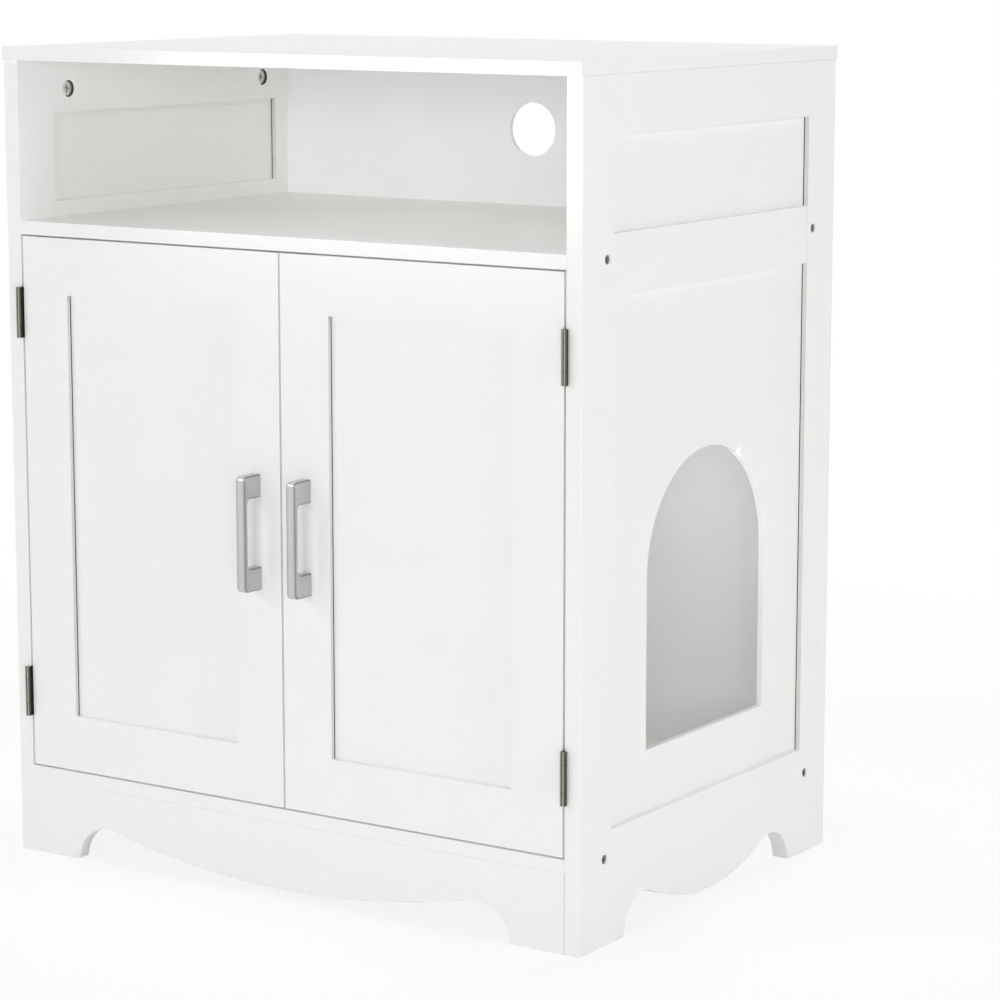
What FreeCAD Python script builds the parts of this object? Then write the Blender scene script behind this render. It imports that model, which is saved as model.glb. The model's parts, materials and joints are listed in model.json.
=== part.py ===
import FreeCAD
import Part
import os

# Cat litter box cabinet: a low two-door cupboard of white lacquered board. Behind the doors is the
# litter chamber, entered by an arch in the right side; above it is an open compartment.
# Millimetres. +X is to the right as seen from the front, +Y to the back, +Z up. The origin is on
# the floor, in the middle of the whole cabinet with its handles.

Vector = FreeCAD.Vector
UP = Vector(0, 0, 1)
RIGHT = Vector(1, 0, 0)
LEFT = Vector(-1, 0, 0)
BACK = Vector(0, 1, 0)
FORWARD = Vector(0, -1, 0)

# Carcass
overall_width = 600.0
overall_height = 725.0
side_depth = 419.0
side_thickness = 15.0
top_thickness = 12.0
top_front_overhang = 2.5
top_rear_overhang = 3.5
top_edge_radius = 1.0
compartment_height = 140.0
shelf_thickness = 12.0
floor_thickness = 12.0
base_height = 68.0
board_edge_radius = 0.5

# Back sheet, held in grooves of the sides and the top
back_thickness = 4.0
back_inset = 25.0
back_tongue = 5.0
cable_hole_radius = 25.0

# Side frames
side_stile_width = 48.0
side_top_rail_height = 48.0
mid_rail_height = 50.0
mid_rail_above_shelf = 14.0
mid_rail_setback = 0.4
side_bottom_rail_height = 97.0

# Inset panels of sides and doors
inset_thickness = 5.0
inset_tongue = 6.0

# Skirting: feet at the corners, a rounded notch inside each foot, and a shallow belly between
apron_thickness = 12.0
foot_length = 68.0
foot_corner_radius = 3.0
notch_radius = 33.0
notch_height = 32.0
belly_clearance = 8.0

# Arched entry in the right side
entry_width = 198.0
entry_sill_height = 150.0
entry_apex_height = 395.0

# Doors
door_thickness = 15.0
door_centre_gap = 2.0
door_reveal = 1.5
door_stile_width = 50.0
door_rail_height = 50.0

# Handles
handle_width = 10.0
handle_length = 100.0
handle_projection = 22.0
handle_bar_thickness = 5.0
handle_leg_height = 20.0
handle_outer_radius = 4.5
handle_inner_radius = 3.0
handle_edge_radius = 1.0
handle_inset = 25.5

# Butt hinges
hinge_length = 45.0
hinge_inset = 67.5
hinge_middle_knuckle = 22.5
hinge_knuckle_gap = 0.4
hinge_leaf_thickness = 0.85
hinge_leaf_margin = 1.0
hinge_barrel_radius = 2.8
hinge_pin_radius = 1.6
hinge_screw_spacing = 30.0

# Cam fittings between the top and the sides
cam_radius = 7.4
cam_depth = 12.3
cam_drop = 27.0
cam_from_stile = 20.0
cam_cross_width = 1.6
cam_cross_length = 7.0
cam_cross_depth = 2.0
bolt_thread_radius = 2.9
bolt_thread_depth = 9.0
bolt_shank_radius = 2.2
bolt_head_radius = 3.2

# Wooden dowels
dowel_radius = 3.0
dowel_length = 25.0
dowel_end_radius = 0.6
dowel_thin_side_depth = 8.0
top_rail_dowel_spacing = 24.0
mid_rail_dowel_spacing = 26.0
bottom_rail_dowel_spacing = 30.0
bottom_rail_dowel_height = 40.0
door_dowel_spacing = 24.0
top_dowel_spacing = 160.0
apron_end_dowel_spacing = 26.0
apron_end_dowel_height = 38.0
apron_top_dowel_pitch = 160.0

# Screws
panel_screw_inset = 38.0
panel_screw_recess = 1.0
panel_screw_length = 40.0
panel_screw_head_radius = 4.0
panel_screw_shank_radius = 2.2
small_head_radius = 2.75
small_shank_radius = 1.4
hinge_side_screw_length = 12.0
hinge_door_screw_length = 16.0
catch_screw_length = 10.0
back_screw_length = 18.0
back_screw_from_panel_screw = 19.0
cross_width = 0.8
cross_depth = 1.1
handle_screw_radius = 2.0
handle_screw_head_radius = 3.8
handle_screw_head_height = 2.2
handle_screw_cross_length = 4.6
handle_screw_grip = 10.0

# Flat-headed screws' proportions: the point in shank radii, the cross drive in head radii
point_length_ratio = 2.0
point_radius_ratio = 0.25
cross_length_ratio = 1.3

# Double magnetic catch under the shelf, and its strike plates on the doors
catch_half_width = 24.0
catch_ear_length = 11.0
catch_ear_thickness = 2.5
catch_height = 15.0
catch_depth = 14.0
catch_corner_radius = 1.5
magnet_width = 14.0
magnet_height = 8.0
magnet_depth = 9.0
magnet_stand_out = 0.5
strike_width = 20.0
strike_height = 10.0
strike_thickness = 1.2
strike_edge_inset = 2.0

# Clearances
groove_clearance = 0.1
groove_end_clearance = 0.5
hole_clearance = 0.05
moving_clearance = 0.3
counterbore_clearance = 0.2

# How far a cutter runs past what it cuts, and how near counts as being on a plane or at a foot
OVERSHOOT = 5.0
ON_PLANE = 1e-4
AT_FOOT = 8.0

# Levels and planes that follow from the sizes
half_width = overall_width / 2
inner_half_width = half_width - side_thickness
front = (handle_projection - side_depth - top_rear_overhang) / 2
rear = front + side_depth
middle = (front + rear) / 2
top_underside = overall_height - top_thickness
shelf_top = top_underside - compartment_height
shelf_underside = shelf_top - shelf_thickness
floor_top = base_height + floor_thickness
back_rear_face = rear - back_inset
back_front_face = back_rear_face - back_thickness
side_mid_plane = -half_width + side_thickness / 2

door_bottom = floor_top + door_reveal
door_top = shelf_underside - door_reveal
door_back = front + door_thickness
hinge_gap = 2 * hinge_leaf_thickness + moving_clearance
door_hinge_edge = -inner_half_width + hinge_gap
door_lock_edge = -door_centre_gap / 2

stile_inner_front = front + side_stile_width
stile_inner_rear = rear - side_stile_width
top_rail_bottom = top_underside - side_top_rail_height
mid_rail_top = shelf_top + mid_rail_above_shelf
mid_rail_bottom = mid_rail_top - mid_rail_height

hinge_axis_x = door_hinge_edge - hinge_barrel_radius
hinge_axis_y = front - moving_clearance - hinge_barrel_radius
handle_x = door_lock_edge - handle_inset
handle_z = (door_bottom + door_top) / 2
entry_radius = entry_width / 2
entry_spring_height = entry_apex_height - entry_radius


def block(x, y, z):
    """A box between a low and a high value on each axis."""
    return Part.makeBox(x[1] - x[0], y[1] - y[0], z[1] - z[0], Vector(x[0], y[0], z[0]))


def grown(x, y, z, by):
    """The same spans, each longer at both ends by its own amount."""
    spans = zip((x, y, z), by)
    return [(low - extra, high + extra) for (low, high), extra in spans]


def rod(radius, length, start, direction):
    return Part.makeCylinder(radius, length, start, direction)


def placed(shape, point, direction):
    """A shape made along +Z from the origin, put at a point and turned to a direction."""
    copy = shape.copy()
    copy.Placement = FreeCAD.Placement(point, FreeCAD.Rotation(UP, direction))
    return copy


def mirrored(shape):
    """The shape's twin on the right-hand side of the cabinet."""
    return shape.mirror(Vector(0, 0, 0), RIGHT)


def edges_at(shape, **line):
    """The edges that lie on the given planes, such as x=10 with z=0."""
    def on_line(edge):
        return all(
            abs(getattr(vertex.Point, axis) - value) < ON_PLANE
            for vertex in edge.Vertexes
            for axis, value in line.items()
        )
    return [edge for edge in shape.Edges if on_line(edge)]


def upright_edges(x, y):
    """The lines of a box's four upright edges."""
    return [{"x": at_x, "y": at_y} for at_x in x for at_y in y]


def eased(shape, radius, *lines):
    """The shape with the edges on each line rounded."""
    edges = [edge for line in lines for edge in edges_at(shape, **line)]
    return shape.makeFillet(radius, edges)


# Every piece, by its name. Pieces of the left half are made first and mirrored.
pieces = {}


def drill(names, hole):
    for name in names:
        pieces[name] = pieces[name].cut(hole)


# ---- Fasteners ---------------------------------------------------------------------------


def countersunk(head, shank, length, clearance=0.0):
    """A flat-headed screw, head at the origin and point along +Z; with clearance, its hole."""
    cone_length = head - shank
    point_length = shank * point_length_ratio
    point_radius = shank * point_radius_ratio
    straight_length = length - cone_length - point_length
    point_start = UP * (length - point_length)
    cone = Part.makeCone(head + clearance, shank + clearance, cone_length)
    straight = rod(shank + clearance, straight_length, UP * cone_length, UP)
    point = Part.makeCone(shank + clearance, point_radius + clearance, point_length, point_start)
    return cone.fuse([straight, point]).removeSplitter()


def cross_cut(width, length, depth):
    """The cross-shaped drive recess of a head that faces -Z at the origin."""
    bar = block((-length / 2, length / 2), (-width / 2, width / 2), (-OVERSHOOT, depth))
    other = block((-width / 2, width / 2), (-length / 2, length / 2), (-OVERSHOOT, depth))
    return bar.fuse(other)


def crossed_screw(head, shank, length):
    recess = cross_cut(cross_width, head * cross_length_ratio, cross_depth)
    return countersunk(head, shank, length).cut(recess)


def fixed_with(names, group, head, shank, length, point, direction):
    """Drives a flat-headed screw through pieces, and adds it to a group."""
    drill(names, placed(countersunk(head, shank, length, hole_clearance), point, direction))
    group.append(placed(crossed_screw(head, shank, length), point, direction))


def dowelled(names, group, joint, direction, depth=None):
    """Puts a dowel across a joint; depth is how far it reaches along the direction."""
    depth = dowel_length / 2 if depth is None else depth
    start = joint - direction * (dowel_length - depth)
    dowel = Part.makeCylinder(dowel_radius, dowel_length)
    end_circles = [edge for edge in dowel.Edges if len(edge.Vertexes) == 1]
    group.append(placed(dowel.makeFillet(dowel_end_radius, end_circles), start, direction))
    hole_start = start - direction * groove_end_clearance
    hole_length = dowel_length + 2 * groove_end_clearance
    drill(names, rod(dowel_radius + hole_clearance, hole_length, hole_start, direction))


# ---- Skirting outline --------------------------------------------------------------------


def skirting_void(length):
    """The outline cut out below a skirting board, as a face in the XZ plane, centred on X.

    A notch arc rises from each foot and runs smoothly into one wide belly arc.
    """
    foot = length / 2 - foot_length
    notch_x = foot - notch_radius
    notch_z = notch_height - notch_radius
    rise = belly_clearance - notch_z
    belly_radius = (rise ** 2 + notch_x ** 2 - notch_radius ** 2) / (2 * (notch_radius - rise))
    belly_z = belly_clearance + belly_radius
    notch_centre = Vector(notch_x, 0, notch_z)
    towards_belly = (Vector(0, 0, belly_z) - notch_centre).normalize()
    blend = notch_centre + towards_belly * notch_radius
    foot_side = Vector(foot, 0, notch_z)
    crest = notch_centre + (Vector(1, 0, 1).normalize()) * notch_radius
    below = Vector(foot, 0, -notch_radius)

    def flipped(point):
        return Vector(-point.x, point.y, point.z)

    edges = [
        Part.makeLine(below, foot_side),
        Part.Arc(foot_side, crest, blend).toShape(),
        Part.Arc(blend, Vector(0, 0, belly_clearance), flipped(blend)).toShape(),
        Part.Arc(flipped(blend), flipped(crest), flipped(foot_side)).toShape(),
        Part.makeLine(flipped(foot_side), flipped(below)),
        Part.makeLine(flipped(below), below),
    ]
    return Part.Face(Part.Wire(edges))


def skirting_cutter_along_x(length, y):
    face = skirting_void(length)
    face.translate(Vector(0, y[0], 0))
    return face.extrude(BACK * (y[1] - y[0]))


def skirting_cutter_along_y(length, x):
    face = skirting_void(length)
    face.rotate(Vector(0, 0, 0), UP, 90)
    face.translate(Vector(x[0], middle, 0))
    return face.extrude(RIGHT * (x[1] - x[0]))


def foot_corners_rounded(shape, axis, foot_ends):
    """Rounds the inner bottom corner of each foot."""
    def at_foot(edge):
        points = [vertex.Point for vertex in edge.Vertexes]
        low = all(abs(point.z) < ON_PLANE for point in points)
        ends = [getattr(point, axis) for point in points]
        square = abs(ends[0] - ends[-1]) < ON_PLANE
        near = any(abs(ends[0] - end) < AT_FOOT for end in foot_ends)
        return low and square and near
    corners = [edge for edge in shape.Edges if at_foot(edge)]
    return shape.makeFillet(foot_corner_radius, corners) if corners else shape


# ---- Boards ------------------------------------------------------------------------------

side_x = (-half_width, -inner_half_width)
inner_x = (-inner_half_width, inner_half_width)


def top_board():
    x = (-half_width, half_width)
    y = (front - top_front_overhang, rear + top_rear_overhang)
    z = (top_underside, overall_height)
    board = block(x, y, z)
    across = [{"y": at_y, "z": at_z} for at_y in y for at_z in z]
    along = [{"x": at_x, "z": at_z} for at_x in x for at_z in z]
    return eased(board, top_edge_radius, *upright_edges(x, y), *across, *along)


def inner_board(low, high):
    """A board between the sides, from the front edge to the back sheet."""
    board = block(inner_x, (front, back_front_face), (low, high))
    return eased(board, board_edge_radius, {"y": front, "z": low}, {"y": front, "z": high})


def front_apron():
    y = (front, front + apron_thickness)
    board = block(inner_x, y, (0, base_height))
    cutter = skirting_cutter_along_x(overall_width, (y[0] - OVERSHOOT, y[1] + OVERSHOOT))
    foot = half_width - foot_length
    return foot_corners_rounded(board.cut(cutter), "x", (-foot, foot))


def back_spans(tongue_gap):
    """The back sheet's spans; its edges stop a gap short of the groove ends."""
    reach = inner_half_width + back_tongue - tongue_gap
    high = top_underside + back_tongue - tongue_gap
    return (-reach, reach), (back_front_face, back_rear_face), (base_height, high)


def back_panel():
    sheet = block(*back_spans(groove_end_clearance))
    hole_z = (shelf_top + top_underside) / 2
    start = Vector(0, back_front_face - OVERSHOOT, hole_z)
    return sheet.cut(rod(cable_hole_radius, back_thickness + 2 * OVERSHOOT, start, BACK))


def back_groove():
    """What the sides and the top lose for the back sheet."""
    return block(*grown(*back_spans(0), (0, groove_clearance, 0)))


# ---- Side frames -------------------------------------------------------------------------

inset_x = (side_mid_plane - inset_thickness / 2, side_mid_plane + inset_thickness / 2)
inset_y = (stile_inner_front - inset_tongue, stile_inner_rear + inset_tongue)
upper_inset_z = (mid_rail_top - inset_tongue, top_rail_bottom + inset_tongue)
lower_inset_z = (side_bottom_rail_height - inset_tongue, mid_rail_bottom + inset_tongue)
panel_groove_growth = (groove_clearance, groove_end_clearance, groove_end_clearance)


def side_bottom_rail():
    rail = block(side_x, (stile_inner_front, stile_inner_rear), (0, side_bottom_rail_height))
    cutter = skirting_cutter_along_y(side_depth, (side_x[0] - OVERSHOOT, side_x[1] + OVERSHOOT))
    feet = (front + foot_length, rear - foot_length)
    return foot_corners_rounded(rail.cut(cutter), "y", feet)


def side_stile(y, outer_edge):
    """An upright of a side frame, its outer and inner corners eased at the outer edge."""
    post = block(side_x, y, (0, top_underside))
    corners = [{"x": at_x, "y": outer_edge} for at_x in side_x]
    return eased(post, board_edge_radius, *corners)


def left_side():
    rail_y = (stile_inner_front, stile_inner_rear)
    mid_x = (side_x[0] + mid_rail_setback, side_x[1])
    frame = {
        "front_stile": side_stile((front, stile_inner_front), front),
        "rear_stile": side_stile((stile_inner_rear, rear), rear),
        "top_rail": block(side_x, rail_y, (top_rail_bottom, top_underside)),
        "mid_rail": block(mid_x, rail_y, (mid_rail_bottom, mid_rail_top)),
        "bottom_rail": side_bottom_rail(),
    }
    grooves = [back_groove()]
    for z in (upper_inset_z, lower_inset_z):
        grooves.append(block(*grown(inset_x, inset_y, z, panel_groove_growth)))
    for name, member in frame.items():
        pieces["left_side_" + name] = member.cut(grooves)
    pieces["left_side_upper_panel"] = block(inset_x, inset_y, upper_inset_z)
    pieces["left_side_lower_panel"] = block(inset_x, inset_y, lower_inset_z)


def entry_cutter():
    """The arched entry, through the right side's lower panel."""
    x = (inner_half_width - OVERSHOOT, half_width + OVERSHOOT)
    straight = block(
        x,
        (middle - entry_radius, middle + entry_radius),
        (entry_sill_height, entry_spring_height),
    )
    crown = rod(entry_radius, x[1] - x[0], Vector(x[0], middle, entry_spring_height), RIGHT)
    return straight.fuse(crown)


def side_joint_dowels(group):
    """Two dowels at each end of each side rail."""
    joints = {
        "top_rail": ((top_rail_bottom + top_underside) / 2, top_rail_dowel_spacing),
        "mid_rail": ((mid_rail_bottom + mid_rail_top) / 2, mid_rail_dowel_spacing),
        "bottom_rail": (bottom_rail_dowel_height, bottom_rail_dowel_spacing),
    }
    ends = {"front_stile": stile_inner_front, "rear_stile": stile_inner_rear}
    for rail, (centre, spacing) in joints.items():
        for stile, y in ends.items():
            names = ["left_side_" + rail, "left_side_" + stile]
            for z in (centre - spacing / 2, centre + spacing / 2):
                dowelled(names, group, Vector(side_mid_plane, y, z), BACK)


# ---- Doors -------------------------------------------------------------------------------

door_x = (door_hinge_edge, door_lock_edge)
door_y = (front, door_back)
door_z = (door_bottom, door_top)
door_opening_x = (door_x[0] + door_stile_width, door_x[1] - door_stile_width)
door_opening_z = (door_z[0] + door_rail_height, door_z[1] - door_rail_height)
door_mid_plane = front + door_thickness / 2


def door_member(x, z, *outer_edges):
    """A stile or rail of the left door, with the door's outer edges eased."""
    member = block(x, door_y, z)
    lines = [dict(edge, y=y) for edge in outer_edges for y in door_y]
    return eased(member, board_edge_radius, *lines)


def left_door_frame():
    hinge_side = (door_x[0], door_opening_x[0])
    lock_side = (door_opening_x[1], door_x[1])
    hinge_edge = {"x": door_x[0]}
    lock_edge = {"x": door_x[1]}
    low_edge = {"z": door_z[0]}
    high_edge = {"z": door_z[1]}
    members = {
        "hinge_stile": (hinge_side, door_z, hinge_edge, low_edge, high_edge),
        "lock_stile": (lock_side, door_z, lock_edge, low_edge, high_edge),
        "top_rail": (door_opening_x, (door_opening_z[1], door_z[1]), high_edge),
        "bottom_rail": (door_opening_x, (door_z[0], door_opening_z[0]), low_edge),
    }
    spans = grown(
        door_opening_x,
        (door_mid_plane - inset_thickness / 2, door_mid_plane + inset_thickness / 2),
        door_opening_z,
        (inset_tongue, 0, inset_tongue),
    )
    groove_growth = (groove_end_clearance, groove_clearance, groove_end_clearance)
    groove = block(*grown(*spans, groove_growth))
    for name, member in members.items():
        pieces["left_door_" + name] = door_member(*member).cut(groove)
    pieces["left_door_panel"] = block(*spans)


def left_door_dowels():
    group = []
    rails = {
        "top_rail": (door_opening_z[1] + door_z[1]) / 2,
        "bottom_rail": (door_z[0] + door_opening_z[0]) / 2,
    }
    ends = {"hinge_stile": door_opening_x[0], "lock_stile": door_opening_x[1]}
    for rail, centre in rails.items():
        for stile, x in ends.items():
            names = ["left_door_" + rail, "left_door_" + stile]
            for z in (centre - door_dowel_spacing / 2, centre + door_dowel_spacing / 2):
                dowelled(names, group, Vector(x, door_mid_plane, z), RIGHT)
    pieces["left_door_dowels"] = Part.makeCompound(group)


def handle_legs():
    reach = (handle_length - handle_leg_height) / 2
    return (handle_z - reach, handle_z + reach)


def left_handle():
    """A bridge-shaped pull: one flat bar on two legs, its corners rounded."""
    x = (handle_x - handle_width / 2, handle_x + handle_width / 2)
    z = (handle_z - handle_length / 2, handle_z + handle_length / 2)
    outer_y = front - handle_projection
    inner_y = outer_y + handle_bar_thickness
    gap_z = (z[0] + handle_leg_height, z[1] - handle_leg_height)
    bridge = block(x, (outer_y, front), z).cut(block(x, (inner_y, front), gap_z))
    bridge = eased(bridge, handle_outer_radius, *[{"y": outer_y, "z": end} for end in z])
    bridge = eased(bridge, handle_inner_radius, *[{"y": inner_y, "z": end} for end in gap_z])
    rims = [edge for at_x in x for edge in edges_at(bridge, x=at_x)]
    rims = [edge for edge in rims if min(vertex.Point.y for vertex in edge.Vertexes) < front]
    return bridge.makeFillet(handle_edge_radius, rims)


def handle_screw_shank(clearance=0.0):
    length = door_thickness + handle_screw_grip
    return Part.makeCylinder(handle_screw_radius + clearance, length + clearance)


def handle_screw():
    """A round-headed machine screw, driven forwards from the back of the door."""
    head_start = Vector(0, 0, -handle_screw_head_height)
    head = Part.makeCylinder(handle_screw_head_radius, handle_screw_head_height, head_start, UP)
    rim = edges_at(head, z=-handle_screw_head_height)
    head = head.makeFillet(handle_screw_head_height / 2, rim)
    recess_end = cross_depth - handle_screw_head_height
    recess = cross_cut(cross_width, handle_screw_cross_length, recess_end)
    return head.cut(recess).fuse(handle_screw_shank())


def left_handle_screws():
    names = ["left_door_lock_stile", "left_door_handle"]
    group = []
    for z in handle_legs():
        seat = Vector(handle_x, door_back, z)
        drill(names, placed(handle_screw_shank(hole_clearance), seat, FORWARD))
        group.append(placed(handle_screw(), seat, FORWARD))
    pieces["left_door_handle_screws"] = Part.makeCompound(group)


# ---- Magnetic catch ----------------------------------------------------------------------

strike_x = (door_lock_edge - strike_edge_inset - strike_width, door_lock_edge - strike_edge_inset)
strike_back = door_back + strike_thickness
magnet_front = strike_back + moving_clearance
catch_front = magnet_front + magnet_stand_out
catch_middle_z = shelf_underside - catch_height / 2


def left_strike_plate():
    x_middle = (strike_x[0] + strike_x[1]) / 2
    z = (catch_middle_z - strike_height / 2, catch_middle_z + strike_height / 2)
    pieces["left_door_strike_plate"] = block(strike_x, (door_back, strike_back), z)
    group = []
    fixed_with(
        ["left_door_strike_plate", "left_door_lock_stile"],
        group,
        small_head_radius,
        small_shank_radius,
        hinge_side_screw_length,
        Vector(x_middle, strike_back, catch_middle_z),
        FORWARD,
    )
    pieces["left_door_strike_screw"] = group[0]


def magnet_blocks(growth=0.0):
    centre = (strike_x[0] + strike_x[1]) / 2
    spans = grown(
        (centre - magnet_width / 2, centre + magnet_width / 2),
        (magnet_front, magnet_front + magnet_depth),
        (catch_middle_z - magnet_height / 2, catch_middle_z + magnet_height / 2),
        (growth, growth, growth),
    )
    left = block(*spans)
    return [left, mirrored(left)]


def magnetic_catch():
    """A plastic body for two magnets, with an ear at each end screwed up into the shelf."""
    reach = catch_half_width + catch_ear_length
    body_x = (-catch_half_width, catch_half_width)
    ears_x = (-reach, reach)
    y = (catch_front, catch_front + catch_depth)
    body = block(body_x, y, (shelf_underside - catch_height, shelf_underside))
    body = eased(body, catch_corner_radius, *upright_edges(body_x, y))
    ears = block(ears_x, y, (shelf_underside - catch_ear_thickness, shelf_underside))
    ears = eased(ears, catch_corner_radius, *upright_edges(ears_x, y))
    body = body.fuse(ears).removeSplitter()
    pieces["catch_housing"] = body.cut(magnet_blocks(hole_clearance))
    pieces["catch_magnets"] = Part.makeCompound(magnet_blocks())
    group = []
    screw_x = catch_half_width + catch_ear_length / 2
    for x in (-screw_x, screw_x):
        seat = Vector(x, (y[0] + y[1]) / 2, shelf_underside - catch_ear_thickness)
        fixed_with(
            ["catch_housing", "middle_shelf"],
            group,
            small_head_radius,
            small_shank_radius,
            catch_screw_length,
            seat,
            UP,
        )
    pieces["catch_screws"] = Part.makeCompound(group)


# ---- Hinges ------------------------------------------------------------------------------

hinge_heights = {"lower": door_bottom + hinge_inset, "upper": door_top - hinge_inset}
leaf_end = door_back - hinge_leaf_margin


def knuckle_spans(centre):
    """The heights of the cabinet leaf's two knuckles and of the door leaf's one."""
    half = hinge_length / 2
    inner = hinge_middle_knuckle / 2
    door = [(centre - inner, centre + inner)]
    start = inner + hinge_knuckle_gap
    cabinet = [(centre - half, centre - start), (centre + start, centre + half)]
    return cabinet, door


def barrel(radius, span, clearance=0.0):
    start = Vector(hinge_axis_x, hinge_axis_y, span[0] - clearance)
    return rod(radius, span[1] - span[0] + 2 * clearance, start, UP)


def hinge_leaf(centre, x, own_knuckles, other_knuckles):
    """A flat leaf with its knuckles, bored for the pin and notched for the other leaf."""
    span = (centre - hinge_length / 2, centre + hinge_length / 2)
    leaf = block(x, (hinge_axis_y, leaf_end), span)
    for knuckle in other_knuckles:
        leaf = leaf.cut(barrel(hinge_barrel_radius + moving_clearance, knuckle, hinge_knuckle_gap))
    for knuckle in own_knuckles:
        leaf = leaf.fuse(barrel(hinge_barrel_radius, knuckle))
    return leaf.removeSplitter().cut(barrel(hinge_pin_radius + hole_clearance, span, OVERSHOOT))


def left_hinges(cabinet_screws, door_screws, pins):
    cabinet_x = (-inner_half_width, -inner_half_width + hinge_leaf_thickness)
    door_leaf_x = (door_hinge_edge - hinge_leaf_thickness, door_hinge_edge)
    for level, centre in hinge_heights.items():
        cabinet_knuckles, door_knuckles = knuckle_spans(centre)
        cabinet_leaf = "left_" + level + "_hinge_cabinet_leaf"
        door_leaf = "left_" + level + "_hinge_door_leaf"
        pieces[cabinet_leaf] = hinge_leaf(centre, cabinet_x, cabinet_knuckles, door_knuckles)
        pieces[door_leaf] = hinge_leaf(centre, door_leaf_x, door_knuckles, cabinet_knuckles)
        pins.append(barrel(hinge_pin_radius, (centre - hinge_length / 2, centre + hinge_length / 2)))
        for z in (centre - hinge_screw_spacing / 2, centre + hinge_screw_spacing / 2):
            cabinet_seat = Vector(cabinet_x[1], door_mid_plane, z)
            door_seat = Vector(door_leaf_x[0], door_mid_plane, z)
            fixed_with(
                [cabinet_leaf, "left_side_front_stile"],
                cabinet_screws,
                small_head_radius,
                small_shank_radius,
                hinge_side_screw_length,
                cabinet_seat,
                LEFT,
            )
            fixed_with(
                [door_leaf, "left_door_hinge_stile"],
                door_screws,
                small_head_radius,
                small_shank_radius,
                hinge_door_screw_length,
                door_seat,
                RIGHT,
            )


# ---- Cam fittings and carcass fixings ----------------------------------------------------

cam_z = top_underside - cam_drop


def cam_lock():
    """A cam drum with a cross drive, lying along -X, and a slot that takes the bolt's head."""
    drum = rod(cam_radius, cam_depth, Vector(0, 0, 0), UP)
    drum = drum.cut(cross_cut(cam_cross_width, cam_cross_length, cam_cross_depth))
    return placed(drum, Vector(-inner_half_width, 0, cam_z), LEFT)


def cam_bolt():
    """A bolt that hangs from the top board, its ball head in the cam."""
    thread = rod(bolt_thread_radius, bolt_thread_depth, Vector(0, 0, top_underside), UP)
    shank = rod(bolt_shank_radius, cam_drop, Vector(0, 0, cam_z), UP)
    head = Part.makeSphere(bolt_head_radius, Vector(0, 0, cam_z))
    bolt = thread.fuse([shank, head]).removeSplitter()
    return placed(bolt, Vector(side_mid_plane, 0, 0), UP)


def left_cam_fittings(locks, bolts):
    slot_radius = bolt_head_radius + moving_clearance
    slot = rod(slot_radius, cam_drop, Vector(side_mid_plane, 0, cam_z), UP)
    slot = slot.fuse(Part.makeSphere(slot_radius, Vector(side_mid_plane, 0, cam_z)))
    drum_hole = rod(cam_radius + groove_clearance, cam_depth + groove_clearance, Vector(0, 0, 0), UP)
    drum_hole = placed(drum_hole, Vector(-inner_half_width, 0, cam_z), LEFT)
    thread_hole = rod(
        bolt_thread_radius + hole_clearance,
        bolt_thread_depth + groove_end_clearance,
        Vector(side_mid_plane, 0, top_underside),
        UP,
    )
    for y in (stile_inner_front + cam_from_stile, stile_inner_rear - cam_from_stile):
        place = Vector(0, y, 0)
        lock = cam_lock().cut(slot)
        lock.translate(place)
        locks.append(lock)
        bolt = cam_bolt()
        bolt.translate(place)
        bolts.append(bolt)
        rail_hole = drum_hole.fuse(slot)
        rail_hole.translate(place)
        drill(["left_side_top_rail"], rail_hole)
        board_hole = thread_hole.copy()
        board_hole.translate(place)
        drill(["top_board"], board_hole)
        drill(["top_board"], mirrored(board_hole))


board_middles = {
    "middle_shelf": (shelf_top + shelf_underside) / 2,
    "floor_board": (floor_top + base_height) / 2,
}


def left_panel_screws(group):
    """The screws through each side into the ends of the shelf and the floor board."""
    sizes = (panel_screw_head_radius, panel_screw_shank_radius, panel_screw_length)
    sink = rod(
        panel_screw_head_radius + counterbore_clearance,
        panel_screw_recess + OVERSHOOT,
        Vector(0, 0, -OVERSHOOT - panel_screw_recess),
        UP,
    )
    hole = countersunk(*sizes, hole_clearance).fuse(sink)
    ends = {"front_stile": front + panel_screw_inset, "rear_stile": rear - panel_screw_inset}
    for board, z in board_middles.items():
        for stile, y in ends.items():
            seat = Vector(-half_width + panel_screw_recess, y, z)
            right_seat = Vector(-seat.x, y, z)
            drill(["left_side_" + stile, board], placed(hole, seat, RIGHT))
            drill([board], placed(hole, right_seat, LEFT))
            group.append(placed(crossed_screw(*sizes), seat, RIGHT))


def left_top_dowels(group):
    for y in (middle - top_dowel_spacing / 2, middle + top_dowel_spacing / 2):
        joint = Vector(side_mid_plane, y, top_underside)
        dowelled(["left_side_top_rail", "top_board"], group, joint, UP, dowel_thin_side_depth)
        right_joint = Vector(-side_mid_plane, y, top_underside)
        dowelled(["top_board"], [], right_joint, UP, dowel_thin_side_depth)


def apron_dowels(left_group, centre_group):
    """Dowels from the apron's ends into the stiles, and from its top into the floor board."""
    y = front + apron_thickness / 2
    heights = (
        apron_end_dowel_height - apron_end_dowel_spacing / 2,
        apron_end_dowel_height + apron_end_dowel_spacing / 2,
    )
    for z in heights:
        joint = Vector(-inner_half_width, y, z)
        names = ["front_apron", "left_side_front_stile"]
        dowelled(names, left_group, joint, LEFT, dowel_thin_side_depth)
        right_joint = Vector(inner_half_width, y, z)
        dowelled(["front_apron"], [], right_joint, RIGHT, dowel_thin_side_depth)
    for x in (-apron_top_dowel_pitch, 0, apron_top_dowel_pitch):
        joint = Vector(x, y, base_height)
        dowelled(["front_apron", "floor_board"], centre_group, joint, UP, dowel_thin_side_depth)


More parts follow.
